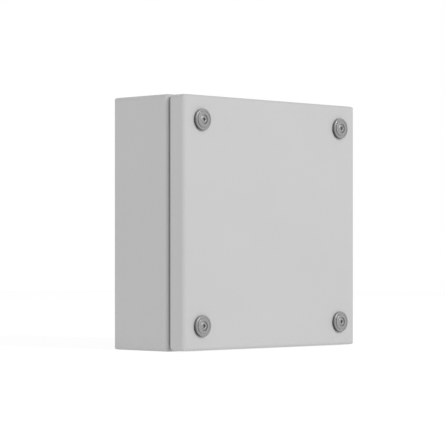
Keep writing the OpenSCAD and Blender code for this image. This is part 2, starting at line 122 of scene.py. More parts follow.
def seen_rays(tree):
    """1 where the lens, a mirror or clear glass looks at the surface, 0 where it lights something."""
    path = add(tree, "ShaderNodeLightPath")
    seen = add(tree, "ShaderNodeMath", {"operation": "MAXIMUM"},
               {0: path.outputs["Is Camera Ray"], 1: path.outputs["Is Glossy Ray"]})
    return add(tree, "ShaderNodeMath", {"operation": "MAXIMUM"},
               {0: seen, 1: path.outputs["Is Transmission Ray"]})


def material_for(name):
    """A new material with an empty tree, and its tree."""
    made = bpy.data.materials.new(name)
    made.use_nodes = True
    made.node_tree.nodes.clear()
    return made, made.node_tree


world = bpy.data.worlds.new("studio_sky")
scene.world = world
world.use_nodes = True
sky = world.node_tree
sky.nodes.clear()
sky_strength = add(sky, "ShaderNodeMapRange", {"To Min": SKY_LIGHT, "To Max": 1.0},
                   {"Value": seen_rays(sky)})
sky_light = add(sky, "ShaderNodeBackground", {"Color": linear(SKY_WHITE)}, {"Strength": sky_strength})
add(sky, "ShaderNodeOutputWorld", links={"Surface": sky_light})

floor_paper, paper = material_for("floor_paper")
white_share = add(paper, "ShaderNodeMapRange", {"To Min": FLOOR_BOUNCE, "To Max": 1 - FLOOR_SHOWN_SHADOW},
                  {"Value": seen_rays(paper)})
paper_matt = add(paper, "ShaderNodeBsdfDiffuse", {"Color": linear(FLOOR_PAPER)})
paper_white = add(paper, "ShaderNodeEmission",
                  {"Color": linear(FLOOR_WHITE), "Strength": FLOOR_SHOWN_WHITE})
paper_mix = add(paper, "ShaderNodeMixShader", links={0: white_share, 1: paper_matt, 2: paper_white})
add(paper, "ShaderNodeOutputMaterial", links={"Surface": paper_mix})

floor_mesh = bpy.data.meshes.new("floor")
half_floor = FLOOR_SIZE / 2
floor_corners = [(side_x * half_floor, side_y * half_floor, cad_low.z)
                 for side_x, side_y in ((-1, -1), (1, -1), (1, 1), (-1, 1))]
floor_mesh.from_pydata(floor_corners, [], [(0, 1, 2, 3)])
floor_mesh.materials.append(floor_paper)
floor = bpy.data.objects.new("floor", floor_mesh)
scene.collection.objects.link(floor)
floor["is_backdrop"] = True

for name, place, size, watts in (
    ("key_lamp", (0.45, -3.9, 2.2), 0.9, 76.5),
    ("fill_lamp", (-2.8, 1.0, 0.9), 1.8, 14.0),
):
    lamp = bpy.data.objects.new(name, bpy.data.lights.new(name, "AREA"))
    lamp.data.energy = watts
    lamp.data.size = size
    lamp.location = place
    lamp.rotation_euler = (-Vector(place)).to_track_quat("-Z", "Y").to_euler()
    scene.collection.objects.link(lamp)

# Body: folded from 1.25 mm sheet steel, welded and ground at the corners and coated with polyester powder.
# The coat flows out in the oven to a satin skin with a fine orange peel of about a millimetre, and its tone
# drifts very slightly from place to place. Nearly all of a noise lies in the span from 0.3 to 0.7.
MM = 0.001
NOISE_SPAN = {"From Min": 0.3, "From Max": 0.7}
COAT_GREY = "#cbcbcb"
COAT_DRIFT, COAT_DARKER, COAT_LIGHTER = 60 * MM, 0.99, 1.01
COAT_PEEL, COAT_PEEL_DEPTH = 1.1 * MM, 0.012 * MM
COAT_SMOOTHEST, COAT_ROUGHEST = 0.5, 0.58

powder_coat, coat = material_for("polyester_powder_coat")
place = add(coat, "ShaderNodeTexCoord").outputs["Object"]
drift = add(coat, "ShaderNodeTexNoise", {"Scale": 1 / COAT_DRIFT, "Detail": 2.0}, {"Vector": place})
tone = add(coat, "ShaderNodeMapRange", {**NOISE_SPAN, "To Min": COAT_DARKER, "To Max": COAT_LIGHTER},
           {"Value": drift})
tint = add(coat, "ShaderNodeVectorMath", {"operation": "SCALE", 0: linear(COAT_GREY)[:3]}, {"Scale": tone})
peel = add(coat, "ShaderNodeTexNoise", {"Scale": 1 / COAT_PEEL, "Detail": 3.0, "Roughness": 0.45},
           {"Vector": place})
sheen = add(coat, "ShaderNodeMapRange", {**NOISE_SPAN, "To Min": COAT_SMOOTHEST, "To Max": COAT_ROUGHEST},
            {"Value": peel})
skin = add(coat, "ShaderNodeBump", {"Strength": 1.0, "Distance": COAT_PEEL_DEPTH}, {"Height": peel})
paint = add(coat, "ShaderNodeBsdfPrincipled", {"IOR": 1.5},
            {"Base Color": tint, "Roughness": sheen, "Normal": skin})
add(coat, "ShaderNodeOutputMaterial", links={"Surface": paint})


def dress(material, *nodes):
    """Gives CAD nodes their finish."""
    for node in nodes:
        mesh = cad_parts[node].data
        mesh.materials.clear()
        mesh.materials.append(material)


dress(powder_coat, "enclosure_body")

# Corner gussets: 2.5 mm plates behind the shoulder, MAG welded before the body is coated.
# The seam fills the groove between a gusset's face and the back of the rim's fold. It is a row of
# overlapping scallops, one for each pulse of the torch, and the coat runs over it.
CORNERS = {"tl": (-1, 1), "tr": (1, 1), "bl": (-1, -1), "br": (1, -1)}
SEAM_INSET = 9.7 * MM
SEAM_ABOVE_GUSSET = 0.35 * MM
SEAM_END_GAP, SEAM_L = 0.8 * MM, 13.5 * MM
SCALLOP_R, SCALLOP_STEP = 0.95 * MM, 0.8 * MM
SCALLOP_SMALLEST, SCALLOP_LARGEST = 0.88, 1.06


def growing_tree(name, inputs):
    """A Geometry Nodes tree with these inputs besides its geometry, and the sockets that give them."""
    tree = bpy.data.node_groups.new(name, "GeometryNodeTree")
    tree.is_modifier = True
    tree.interface.new_socket("Geometry", in_out="OUTPUT", socket_type="NodeSocketGeometry")
    for label, kind in {"Geometry": "Geometry", **inputs, "Material": "Material"}.items():
        tree.interface.new_socket(label, in_out="INPUT", socket_type=f"NodeSocket{kind}")
    return tree, tree.nodes.new("NodeGroupInput").outputs


def end_tree(tree, given, shape):
    """Ends a tree in a real mesh with its material."""
    real = add(tree, "GeometryNodeRealizeInstances", links={"Geometry": shape})
    dressed = add(tree, "GeometryNodeSetMaterial", links={"Geometry": real, "Material": given["Material"]})
    add(tree, "NodeGroupOutput", links={0: dressed})


def grown(name, tree, start, smooth_below=math.radians(40), **values):
    """A plain mesh object that a tree makes from a starting mesh and the values of its inputs."""
    piece = bpy.data.objects.new(name, start)
    scene.collection.objects.link(piece)
    modifier = piece.modifiers.new(tree.name, "NODES")
    modifier.node_group = tree
    for item in tree.interface.items_tree:
        key = item.name.replace(" ", "_").lower()
        if item.in_out == "INPUT" and key in values:
            modifier[item.identifier] = values[key]
    bpy.context.view_layer.update()
    made = bpy.data.meshes.new_from_object(piece.evaluated_get(bpy.context.evaluated_depsgraph_get()))
    piece.modifiers.remove(modifier)
    piece.data = made
    made.name = name
    form = bmesh.new()
    form.from_mesh(made)
    bmesh.ops.recalc_face_normals(form, faces=form.faces)
    form.to_mesh(made)
    form.free()
    made.shade_smooth()
    made.set_sharp_from_angle(angle=smooth_below)
    return piece


def line_mesh(name, points, closed=False):
    """A mesh of one polyline."""
    mesh = bpy.data.meshes.new(name)
    edges = [(i, i + 1) for i in range(len(points) - 1)] + ([(len(points) - 1, 0)] if closed else [])
    mesh.from_pydata(points, edges, [])
    return mesh


seam_tree, given = growing_tree("weld_seam", {"Step": "Float", "Scallop Radius": "Float", "Seed": "Int"})
seam_line = add(seam_tree, "GeometryNodeMeshToCurve", links={0: given["Geometry"]})
seam_points = add(seam_tree, "GeometryNodeResampleCurve", {"mode": "LENGTH"},
                  {"Curve": seam_line, "Length": given["Step"]})
scallop = add(seam_tree, "GeometryNodeMeshIcoSphere", {"Subdivisions": 2},
              {"Radius": given["Scallop Radius"]})
scallop_size = add(seam_tree, "FunctionNodeRandomValue",
                   {"data_type": "FLOAT", 2: SCALLOP_SMALLEST, 3: SCALLOP_LARGEST}, {"Seed": given["Seed"]})
scallops = add(seam_tree, "GeometryNodeInstanceOnPoints", links={
    "Points": seam_points, "Instance": scallop, "Scale": scallop_size.outputs[1]})
end_tree(seam_tree, given, scallops)

gusset_low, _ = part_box("corner_gusset_tr")
seam_y = gusset_low.y - SEAM_ABOVE_GUSSET
seam_out = cad_high.x - SEAM_INSET
seam_from = gusset_low.x + SEAM_END_GAP
seam_to = seam_from + SEAM_L
for count, (corner, (side_x, side_z)) in enumerate(CORNERS.items()):
    dress(powder_coat, f"corner_gusset_{corner}")
    upright_seam = ((seam_out, seam_from), (seam_out, seam_to))
    level_seam = ((seam_from, seam_out), (seam_to, seam_out))
    for number, ends in enumerate((upright_seam, level_seam)):
        start = line_mesh("seam_line", [(side_x * x, seam_y, side_z * z) for x, z in ends])
        seam = grown(f"gusset_seam_{corner}_{number + 1}", seam_tree, start, step=SCALLOP_STEP,
                     scallop_radius=SCALLOP_R, seed=2 * count + number, material=powder_coat)
        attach(seam, "enclosure")

# Weld nuts: hexagon nuts with a pilot, resistance welded behind the gussets and zinc plated.
# Bright zinc is a cool mottled grey with a soft sheen.
ZINC_GREY = "#b9bbbd"
ZINC_SPANGLE, ZINC_DARKER, ZINC_LIGHTER = 2.5 * MM, 0.9, 1.05
ZINC_GRAIN, ZINC_GRAIN_DEPTH = 0.25 * MM, 0.004 * MM
ZINC_SMOOTHEST, ZINC_ROUGHEST = 0.28, 0.42

zinc_plate, zinc = material_for("bright_zinc_plate")
place = add(zinc, "ShaderNodeTexCoord").outputs["Object"]
spangle = add(zinc, "ShaderNodeTexNoise", {"Scale": 1 / ZINC_SPANGLE, "Detail": 4.0}, {"Vector": place})
grain = add(zinc, "ShaderNodeTexNoise", {"Scale": 1 / ZINC_GRAIN, "Detail": 2.0}, {"Vector": place})
tone = add(zinc, "ShaderNodeMapRange", {**NOISE_SPAN, "To Min": ZINC_DARKER, "To Max": ZINC_LIGHTER},
           {"Value": spangle})
tint = add(zinc, "ShaderNodeVectorMath", {"operation": "SCALE", 0: linear(ZINC_GREY)[:3]}, {"Scale": tone})
sheen = add(zinc, "ShaderNodeMapRange", {**NOISE_SPAN, "To Min": ZINC_SMOOTHEST, "To Max": ZINC_ROUGHEST},
            {"Value": spangle})
skin = add(zinc, "ShaderNodeBump", {"Strength": 0.6, "Distance": ZINC_GRAIN_DEPTH}, {"Height": grain})
metal = add(zinc, "ShaderNodeBsdfPrincipled", {"Metallic": 1.0},
            {"Base Color": tint, "Roughness": sheen, "Normal": skin})
add(zinc, "ShaderNodeOutputMaterial", links={"Surface": metal})
dress(zinc_plate, *(f"weld_nut_{corner}" for corner in CORNERS))

# Mounting rails: perforated hat sections of 1.5 mm steel, spot welded to the rear wall.
# They are coated together with the body.
dress(powder_coat, "mounting_rail_left", "mounting_rail_right")

# Support rail: 35 mm rail of 1 mm strip, roll formed, slotted and zinc plated, with a pan head screw at
# each end. Roll forming leaves long fine lines along it.
ROLL_LINE_L, ROLL_LINE_W, ROLL_LINE_DEPTH = 45 * MM, 0.35 * MM, 0.006 * MM
STRIP_DARKER, STRIP_LIGHTER = 0.92, 1.05
STRIP_SMOOTHEST, STRIP_ROUGHEST = 0.26, 0.42

rolled_zinc, rolled = material_for("roll_formed_zinc_plated_strip")
place = add(rolled, "ShaderNodeTexCoord").outputs["Object"]
stretch = add(rolled, "ShaderNodeVectorMath",
              {"operation": "MULTIPLY", 1: (1 / ROLL_LINE_L, 1 / ROLL_LINE_W, 1 / ROLL_LINE_W)}, {0: place})
lines = add(rolled, "ShaderNodeTexNoise", {"Scale": 1.0, "Detail": 3.0}, {"Vector": stretch})
spangle = add(rolled, "ShaderNodeTexNoise", {"Scale": 1 / ZINC_SPANGLE, "Detail": 4.0}, {"Vector": place})
tone = add(rolled, "ShaderNodeMapRange", {**NOISE_SPAN, "To Min": STRIP_DARKER, "To Max": STRIP_LIGHTER},
           {"Value": spangle})
tint = add(rolled, "ShaderNodeVectorMath", {"operation": "SCALE", 0: linear(ZINC_GREY)[:3]},
           {"Scale": tone})
sheen = add(rolled, "ShaderNodeMapRange",
            {**NOISE_SPAN, "To Min": STRIP_SMOOTHEST, "To Max": STRIP_ROUGHEST}, {"Value": lines})
skin = add(rolled, "ShaderNodeBump", {"Strength": 0.8, "Distance": ROLL_LINE_DEPTH}, {"Height": lines})
metal = add(rolled, "ShaderNodeBsdfPrincipled", {"Metallic": 1.0},
            {"Base Color": tint, "Roughness": sheen, "Normal": skin})
add(rolled, "ShaderNodeOutputMaterial", links={"Surface": metal})
dress(rolled_zinc, "support_rail")
dress(zinc_plate, "rail_screw_left", "rail_screw_right")

# Earth studs: M6 weld studs with rolled threads, flashed with copper so that they weld well.
# Each has its weld collar at the foot, and carries a toothed washer and a nut, both zinc plated.
STUD_SEGMENTS = 48
STUD_R, STUD_PITCH, STUD_THREAD_DEPTH, STUD_TIP = 3.0 * MM, 1.0 * MM, 0.6 * MM, 0.7 * MM
STUD_ROOT_R, STUD_ROOT_H = 2.64 * MM, 0.2 * MM
COLLAR_R, COLLAR_H, COLLAR_ROUND, COLLAR_ROUND_MIDDLE = 3.7 * MM, 0.8 * MM, 0.3 * MM, 0.09 * MM
THREAD_ROWS_PER_TURN = 8
THREAD_CREST_END, THREAD_ROOT_START = 0.06, 0.42
MERGE_WITHIN = 0.001 * MM
COPPER_FLASH, COPPER_TARNISH = "#b98262", "#8d5f49"
TARNISH_SPOT, TARNISH_FROM, TARNISH_TO = 1.8 * MM, 0.4, 0.65
COPPER_SMOOTHEST, COPPER_ROUGHEST = 0.3, 0.5

# The tree takes a profile as a line of points: x is the radius and y the depth off the wall. It bends each
# row of a grid round the axis, cuts the thread into the rows marked for it and makes the socket hexagonal.
turning, given = growing_tree("turned_part", {
    "Segments": "Int", "Pitch": "Float", "Thread Depth": "Float", "Axis": "Vector"})
index = add(turning, "GeometryNodeInputIndex")
profile_points = add(turning, "GeometryNodeAttributeDomainSize", {"component": "MESH"},
                     {"Geometry": given["Geometry"]})
ring_points = add(turning, "ShaderNodeMath", {"operation": "ADD", 1: 1.0}, {0: given["Segments"]})
blank = add(turning, "GeometryNodeMeshGrid", links={
    "Vertices X": profile_points.outputs["Point Count"], "Vertices Y": ring_points})
point_middle = add(turning, "ShaderNodeMath", {"operation": "ADD", 1: 0.5}, {0: index})
rings_so_far = add(turning, "ShaderNodeMath", {"operation": "DIVIDE"}, {0: point_middle, 1: ring_points})
row = add(turning, "ShaderNodeMath", {"operation": "FLOOR"}, {0: rings_so_far})
points_before = add(turning, "ShaderNodeMath", {"operation": "MULTIPLY"}, {0: row, 1: ring_points})
round_ring = add(turning, "ShaderNodeMath", {"operation": "SUBTRACT"}, {0: index, 1: points_before})
turn_share = add(turning, "ShaderNodeMath", {"operation": "DIVIDE"}, {0: round_ring, 1: given["Segments"]})
angle = add(turning, "ShaderNodeMath", {"operation": "MULTIPLY", 1: math.tau}, {0: turn_share})
profile_place = add(turning, "GeometryNodeSampleIndex", {"data_type": "FLOAT_VECTOR"}, {
    "Geometry": given["Geometry"], "Value": add(turning, "GeometryNodeInputPosition"), "Index": row})
profile = add(turning, "ShaderNodeSeparateXYZ", links={0: profile_place})
marks = {}
for mark in ("thread", "socket"):
    named = add(turning, "GeometryNodeInputNamedAttribute", {"data_type": "FLOAT", "Name": mark})
    marks[mark] = add(turning, "GeometryNodeSampleIndex", {"data_type": "FLOAT"}, {
        "Geometry": given["Geometry"], "Value": named.outputs["Attribute"], "Index": row})
pitches = add(turning, "ShaderNodeMath", {"operation": "DIVIDE"},
              {0: profile.outputs["Y"], 1: given["Pitch"]})
wound = add(turning, "ShaderNodeMath", {"operation": "SUBTRACT"}, {0: pitches, 1: turn_share})
phase = add(turning, "ShaderNodeMath", {"operation": "FRACT"}, {0: wound})
flank = add(turning, "ShaderNodeMath", {"operation": "PINGPONG", 1: 0.5}, {0: phase})
cut_share = add(turning, "ShaderNodeMapRange",
                {"From Min": THREAD_CREST_END, "From Max": THREAD_ROOT_START}, {"Value": flank})
cut_depth = add(turning, "ShaderNodeMath", {"operation": "MULTIPLY"},
                {0: cut_share, 1: given["Thread Depth"]})
cut_here = add(turning, "ShaderNodeMath", {"operation": "MULTIPLY"}, {0: cut_depth, 1: marks["thread"]})
threaded = add(turning, "ShaderNodeMath", {"operation": "SUBTRACT"}, {0: profile.outputs["X"], 1: cut_here})
from_flat = add(turning, "ShaderNodeMath", {"operation": "SUBTRACT", 1: math.radians(30)}, {0: angle})
side_angle = add(turning, "ShaderNodeMath",
                 {"operation": "WRAP", 1: math.radians(30), 2: math.radians(-30)}, {0: from_flat})
side_cosine = add(turning, "ShaderNodeMath", {"operation": "COSINE"}, {0: side_angle})
flat_share = add(turning, "ShaderNodeMath", {"operation": "DIVIDE", 0: math.cos(math.radians(30))},
                 {1: side_cosine})
hexagon = add(turning, "ShaderNodeMix", {"data_type": "FLOAT", 2: 1.0}, {0: marks["socket"], 3: flat_share})
radius = add(turning, "ShaderNodeMath", {"operation": "MULTIPLY"}, {0: threaded, 1: hexagon})
cosine = add(turning, "ShaderNodeMath", {"operation": "COSINE"}, {0: angle})
sine = add(turning, "ShaderNodeMath", {"operation": "SINE"}, {0: angle})
across = add(turning, "ShaderNodeMath", {"operation": "MULTIPLY"}, {0: radius, 1: cosine})
upwards = add(turning, "ShaderNodeMath", {"operation": "MULTIPLY"}, {0: radius, 1: sine})
forwards = add(turning, "ShaderNodeMath", {"operation": "MULTIPLY", 1: -1.0}, {0: profile.outputs["Y"]})
from_axis = add(turning, "ShaderNodeCombineXYZ", links={0: across, 1: forwards, 2: upwards})
turned_place = add(turning, "ShaderNodeVectorMath", {"operation": "ADD"}, {0: from_axis, 1: given["Axis"]})
turned_shape = add(turning, "GeometryNodeSetPosition", links={"Geometry": blank, "Position": turned_place})
joined = add(turning, "GeometryNodeMergeByDistance", {"Distance": MERGE_WITHIN}, {"Geometry": turned_shape})
end_tree(turning, given, joined)


def turned(name, profile, node, material, segments, pitch, thread_depth):
    """A turned piece that replaces a CAD node and stands on its axis.

    The rows of its profile give radius, depth off the wall, thread mark and socket mark.
    """
    low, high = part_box(node)
    start = line_mesh(f"{name}_profile", [(r, depth, 0) for r, depth, _, _ in profile])
    for column, mark in ((2, "thread"), (3, "socket")):
        layer = start.attributes.new(mark, "FLOAT", "POINT")
        layer.data.foreach_set("value", [float(line[column]) for line in profile])
    piece = grown(name, turning, start, segments=segments, pitch=pitch, thread_depth=thread_depth,
                  axis=((low.x + high.x) / 2, 0, (low.z + high.z) / 2), material=material)
    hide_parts(node)
    return piece


def thread_rows(r, start, end, pitch):
    """Profile rows of a thread between two depths, which may run either way."""
    count = max(2, round(abs(end - start) / pitch * THREAD_ROWS_PER_TURN))
    return [(r, start + (end - start) * i / count, 1, 0) for i in range(count + 1)]


copper_flash, copper = material_for("copper_flashed_steel")
place = add(copper, "ShaderNodeTexCoord").outputs["Object"]
tarnish = add(copper, "ShaderNodeTexNoise", {"Scale": 1 / TARNISH_SPOT, "Detail": 4.0}, {"Vector": place})
worn = add(copper, "ShaderNodeMapRange", {"From Min": TARNISH_FROM, "From Max": TARNISH_TO},
           {"Value": tarnish})
tint = add(copper, "ShaderNodeMix",
           {"data_type": "RGBA", 6: linear(COPPER_FLASH), 7: linear(COPPER_TARNISH)}, {0: worn})
sheen = add(copper, "ShaderNodeMapRange", {"To Min": COPPER_SMOOTHEST, "To Max": COPPER_ROUGHEST},
            {"Value": worn})
metal = add(copper, "ShaderNodeBsdfPrincipled", {"Metallic": 1.0},
            {"Base Color": tint.outputs[2], "Roughness": sheen})
add(copper, "ShaderNodeOutputMaterial", links={"Surface": metal})

for node, body, way in (("body_earth_stud", "enclosure", 1), ("cover_earth_stud", "cover", -1)):
    low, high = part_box(node)
    foot, end = (-high.y, -low.y) if way > 0 else (-low.y, -high.y)
    collar_top = foot + way * COLLAR_H
    stud_profile = [
        (0, foot, 0, 0),
        (COLLAR_R, foot, 0, 0),
        (COLLAR_R, collar_top - way * COLLAR_ROUND, 0, 0),
        (COLLAR_R - COLLAR_ROUND_MIDDLE, collar_top - way * COLLAR_ROUND_MIDDLE, 0, 0),
        (COLLAR_R - COLLAR_ROUND, collar_top, 0, 0),
        (STUD_ROOT_R, collar_top, 0, 0),
        *thread_rows(STUD_R, collar_top + way * STUD_ROOT_H, end - way * STUD_TIP, STUD_PITCH),
        (STUD_R - STUD_TIP, end, 0, 0),
        (0, end, 0, 0)]
    stud = turned(f"{node}_threaded", stud_profile, node, copper_flash, STUD_SEGMENTS, STUD_PITCH,
                  STUD_THREAD_DEPTH)
    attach(stud, body)
    dress(zinc_plate, node.replace("stud", "washer"), node.replace("stud", "nut"))

# Cover: a shallow tray pressed and folded from the same sheet as the body.
# It is welded and ground at its corners and has the same coat.
dress(powder_coat, "cover")

# Cover seal: two-part polyurethane foam, run on to the inside of the cover as one bead and left to cure.
# It has a closed skin with fine pores, a groove where the rim presses and a lap where the bead's ends meet.
SEAL_W, SEAL_SHOULDER_H = 6.4 * MM, 0.4 * MM
SEAL_CORNER_R, SEAL_CORNER_STEPS = 7.375 * MM, 12
SEAL_GROOVE_FROM, SEAL_GROOVE_TO = 0.74 * MM, 1.3 * MM
SEAL_SWELL, SEAL_SWELL_L = 0.12 * MM, 7 * MM
SEAL_LAP_SWELL, SEAL_LAP_L = 0.25 * MM, 9 * MM
SEAL_RINGS, SEAL_SIDES = 560, 56
FOAM_BLACK, FOAM_BLOOM, FOAM_BLOOM_L = "#2b2b2c", "#39393a", 9 * MM
FOAM_PORE, FOAM_PORE_DEPTH = 0.5 * MM, 0.05 * MM

foam_skin, foam = material_for("foamed_polyurethane_skin")
place = add(foam, "ShaderNodeTexCoord").outputs["Object"]
pores = add(foam, "ShaderNodeTexVoronoi", {"Scale": 1 / FOAM_PORE, "Randomness": 1.0}, {"Vector": place})
bloom = add(foam, "ShaderNodeTexNoise", {"Scale": 1 / FOAM_BLOOM_L, "Detail": 3.0}, {"Vector": place})
tint = add(foam, "ShaderNodeMix", {"data_type": "RGBA", 6: linear(FOAM_BLACK), 7: linear(FOAM_BLOOM)},
           {0: bloom})
skin = add(foam, "ShaderNodeBump", {"Strength": 0.7, "Distance": FOAM_PORE_DEPTH},
           {"Height": pores.outputs["Distance"]})
rubber = add(foam, "ShaderNodeBsdfPrincipled", {"Roughness": 0.72, "IOR": 1.5},
             {"Base Color": tint.outputs[2], "Normal": skin})
add(foam, "ShaderNodeOutputMaterial", links={"Surface": rubber})

# The tree lays a grid along the bead's path, one row for each ring, and gives each ring the bead's section.
bead, given = growing_tree("foam_bead", {
    "Rings": "Int", "Sides": "Int", "Width": "Float", "Height": "Float", "Shoulder": "Float",
    "Groove From": "Float", "Groove To": "Float", "Swell": "Float", "Lap Length": "Float",
    "Lap Swell": "Float", "Base": "Float"})
path = add(bead, "GeometryNodeMeshToCurve", links={0: given["Geometry"]})
index = add(bead, "GeometryNodeInputIndex")
ring_points = add(bead, "ShaderNodeMath", {"operation": "ADD", 1: 1.0}, {0: given["Sides"]})
ring_count = add(bead, "ShaderNodeMath", {"operation": "ADD", 1: 1.0}, {0: given["Rings"]})
blank = add(bead, "GeometryNodeMeshGrid", links={"Vertices X": ring_count, "Vertices Y": ring_points})
point_middle = add(bead, "ShaderNodeMath", {"operation": "ADD", 1: 0.5}, {0: index})
rings_so_far = add(bead, "ShaderNodeMath", {"operation": "DIVIDE"}, {0: point_middle, 1: ring_points})
ring = add(bead, "ShaderNodeMath", {"operation": "FLOOR"}, {0: rings_so_far})
along = add(bead, "ShaderNodeMath", {"operation": "DIVIDE"}, {0: ring, 1: given["Rings"]})
points_before = add(bead, "ShaderNodeMath", {"operation": "MULTIPLY"}, {0: ring, 1: ring_points})
round_ring = add(bead, "ShaderNodeMath", {"operation": "SUBTRACT"}, {0: index, 1: points_before})
ring_share = add(bead, "ShaderNodeMath", {"operation": "DIVIDE"}, {0: round_ring, 1: given["Sides"]})
side_angle = add(bead, "ShaderNodeMath", {"operation": "MULTIPLY", 0: math.tau}, {1: ring_share})
on_path = add(bead, "GeometryNodeSampleCurve", {"mode": "FACTOR", "use_all_curves": True},
              {"Curves": path, "Factor": along})
path_place = add(bead, "ShaderNodeSeparateXYZ", links={0: on_path.outputs["Position"]})
off_middle = add(bead, "ShaderNodeMath", {"operation": "ABSOLUTE"}, {0: path_place.outputs["X"]})
lap_share = add(bead, "ShaderNodeMapRange",
                {"interpolation_type": "SMOOTHSTEP", "To Min": 1.0, "To Max": 0.0},
                {"Value": off_middle, "From Max": given["Lap Length"]})
lap_swell = add(bead, "ShaderNodeMath", {"operation": "MULTIPLY"}, {0: given["Lap Swell"], 1: lap_share})
at_bottom = add(bead, "ShaderNodeMath", {"operation": "LESS_THAN", 1: 0.0}, {0: path_place.outputs["Z"]})
lap = add(bead, "ShaderNodeMath", {"operation": "MULTIPLY"}, {0: lap_swell, 1: at_bottom})
flow = add(bead, "ShaderNodeTexNoise", {"Scale": 1 / SEAL_SWELL_L, "Detail": 1.0},
           {"Vector": on_path.outputs["Position"]})
flow_off = add(bead, "ShaderNodeMath", {"operation": "SUBTRACT", 1: 0.5}, {0: flow})
swell = add(bead, "ShaderNodeMath", {"operation": "MULTIPLY"}, {0: given["Swell"], 1: flow_off})
wider = add(bead, "ShaderNodeMath", {"operation": "ADD"}, {0: lap, 1: swell})
even_half = add(bead, "ShaderNodeMath", {"operation": "MULTIPLY", 1: 0.5}, {0: given["Width"]})
half_width = add(bead, "ShaderNodeMath", {"operation": "ADD"}, {0: even_half, 1: wider})
cosine = add(bead, "ShaderNodeMath", {"operation": "COSINE"}, {0: side_angle})
across = add(bead, "ShaderNodeMath", {"operation": "MULTIPLY"}, {0: half_width, 1: cosine})
sine = add(bead, "ShaderNodeMath", {"operation": "SINE"}, {0: side_angle})
upper_half = add(bead, "ShaderNodeMath", {"operation": "MAXIMUM", 1: 0.0}, {0: sine})
rise = add(bead, "ShaderNodeMath", {"operation": "POWER", 1: 0.5}, {0: upper_half})
off_centre = add(bead, "ShaderNodeMath", {"operation": "ABSOLUTE"}, {0: across})
groove = add(bead, "ShaderNodeMapRange", {"interpolation_type": "SMOOTHSTEP"},
             {"Value": off_centre, "From Min": given["Groove From"], "From Max": given["Groove To"]})
shoulder = add(bead, "ShaderNodeMath", {"operation": "MULTIPLY"}, {0: groove, 1: given["Shoulder"]})
full_height = add(bead, "ShaderNodeMath", {"operation": "ADD"}, {0: given["Height"], 1: shoulder})
height = add(bead, "ShaderNodeMath", {"operation": "MULTIPLY"}, {0: rise, 1: full_height})
off_wall = add(bead, "ShaderNodeMath", {"operation": "SUBTRACT"}, {0: height, 1: given["Base"]})
deep = add(bead, "ShaderNodeCombineXYZ", links={1: off_wall})
crosswise = add(bead, "ShaderNodeVectorMath", {"operation": "CROSS_PRODUCT", 1: (0, 1, 0)},
                {0: on_path.outputs["Tangent"]})
sideways = add(bead, "ShaderNodeVectorMath", {"operation": "NORMALIZE"}, {0: crosswise})
side_place = add(bead, "ShaderNodeVectorMath", {"operation": "SCALE"}, {0: sideways, "Scale": across})
in_section = add(bead, "ShaderNodeVectorMath", {"operation": "ADD"}, {0: side_place, 1: deep})
bead_place = add(bead, "ShaderNodeVectorMath", {"operation": "ADD"},
                 {0: on_path.outputs["Position"], 1: in_section})
bead_shape = add(bead, "GeometryNodeSetPosition", links={"Geometry": blank, "Position": bead_place})
joined = add(bead, "GeometryNodeMergeByDistance", {"Distance": MERGE_WITHIN}, {"Geometry": bead_shape})
end_tree(bead, given, joined)

seal_low, seal_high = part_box("cover_seal")
seal_bend_from = seal_high.x - SEAL_W / 2 - SEAL_CORNER_R
seal_path = []
for side_x, side_z, first_angle in ((1, 1, 0), (-1, 1, 90), (-1, -1, 180), (1, -1, 270)):
    for step in range(SEAL_CORNER_STEPS + 1):
        bend = math.radians(first_angle + 90 / SEAL_CORNER_STEPS * step)
        seal_path.append((side_x * seal_bend_from + SEAL_CORNER_R * math.cos(bend), 0,
                          side_z * seal_bend_from + SEAL_CORNER_R * math.sin(bend)))
seal = grown("cover_seal_bead", bead, line_mesh("seal_path", seal_path, closed=True), rings=SEAL_RINGS,
             sides=SEAL_SIDES, width=SEAL_W, height=seal_high.y - seal_low.y, shoulder=SEAL_SHOULDER_H,
             groove_from=SEAL_GROOVE_FROM, groove_to=SEAL_GROOVE_TO, swell=SEAL_SWELL,
             lap_length=SEAL_LAP_L, lap_swell=SEAL_LAP_SWELL, base=-seal_low.y, material=foam_skin)
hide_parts("cover_seal")
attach(seal, "cover")

# Screw ferrules: turned from free-cutting steel on an automatic lathe, one in each corner of the cover.
# The faces show fine rings from the tool. The flange's edge is painted dark as painted shade, darkest at
# the lower left and lightest at the upper right. The groove round the boss and the seat's mouth are painted
# lighter: painted light that lifts the shade in these hollows.
FERRULE_GREY = "#999999"
TURNING_RING, TURNING_SLOPE = 0.14 * MM, 0.32
RING_SPAN = {"From Min": 0.2, "From Max": 0.8}
FERRULE_SMOOTHEST, FERRULE_ROUGHEST = 0.24, 0.36
# These bands of tone are drawn far coarser than the tool's rings, so that they show on the whole box.
FEED_RING, FEED_DARKER, FEED_LIGHTER = 1.1 * MM, 0.8, 1.12
# The flange's outer edge is painted dark as painted shade, darkest towards the lower left, lightest towards
# the upper right.
EDGE_SHADE_W, EDGE_SHADE_LIGHTEST, EDGE_SHADE_DARKEST = 0.6 * MM, "#b0b0b0", "#545454"
TOWARDS_EDGE_LIGHT = (0.77, 0, 0.64)
# Painted light: the groove round the boss and the seat's mouth are brightened to lift the shade in them.
LIT_RING_R, LIT_RING_W = 6.3 * MM, 0.7 * MM
SEAT_R, SEAT_LIT_W, PAINTED_LIGHT_GAIN = 3.65 * MM, 0.5 * MM, 1.5
ferrule_low, ferrule_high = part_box("screw_ferrule_tr")
screw_from_middle = (ferrule_low.x + ferrule_high.x) / 2
flange_r = (ferrule_high.x - ferrule_low.x) / 2


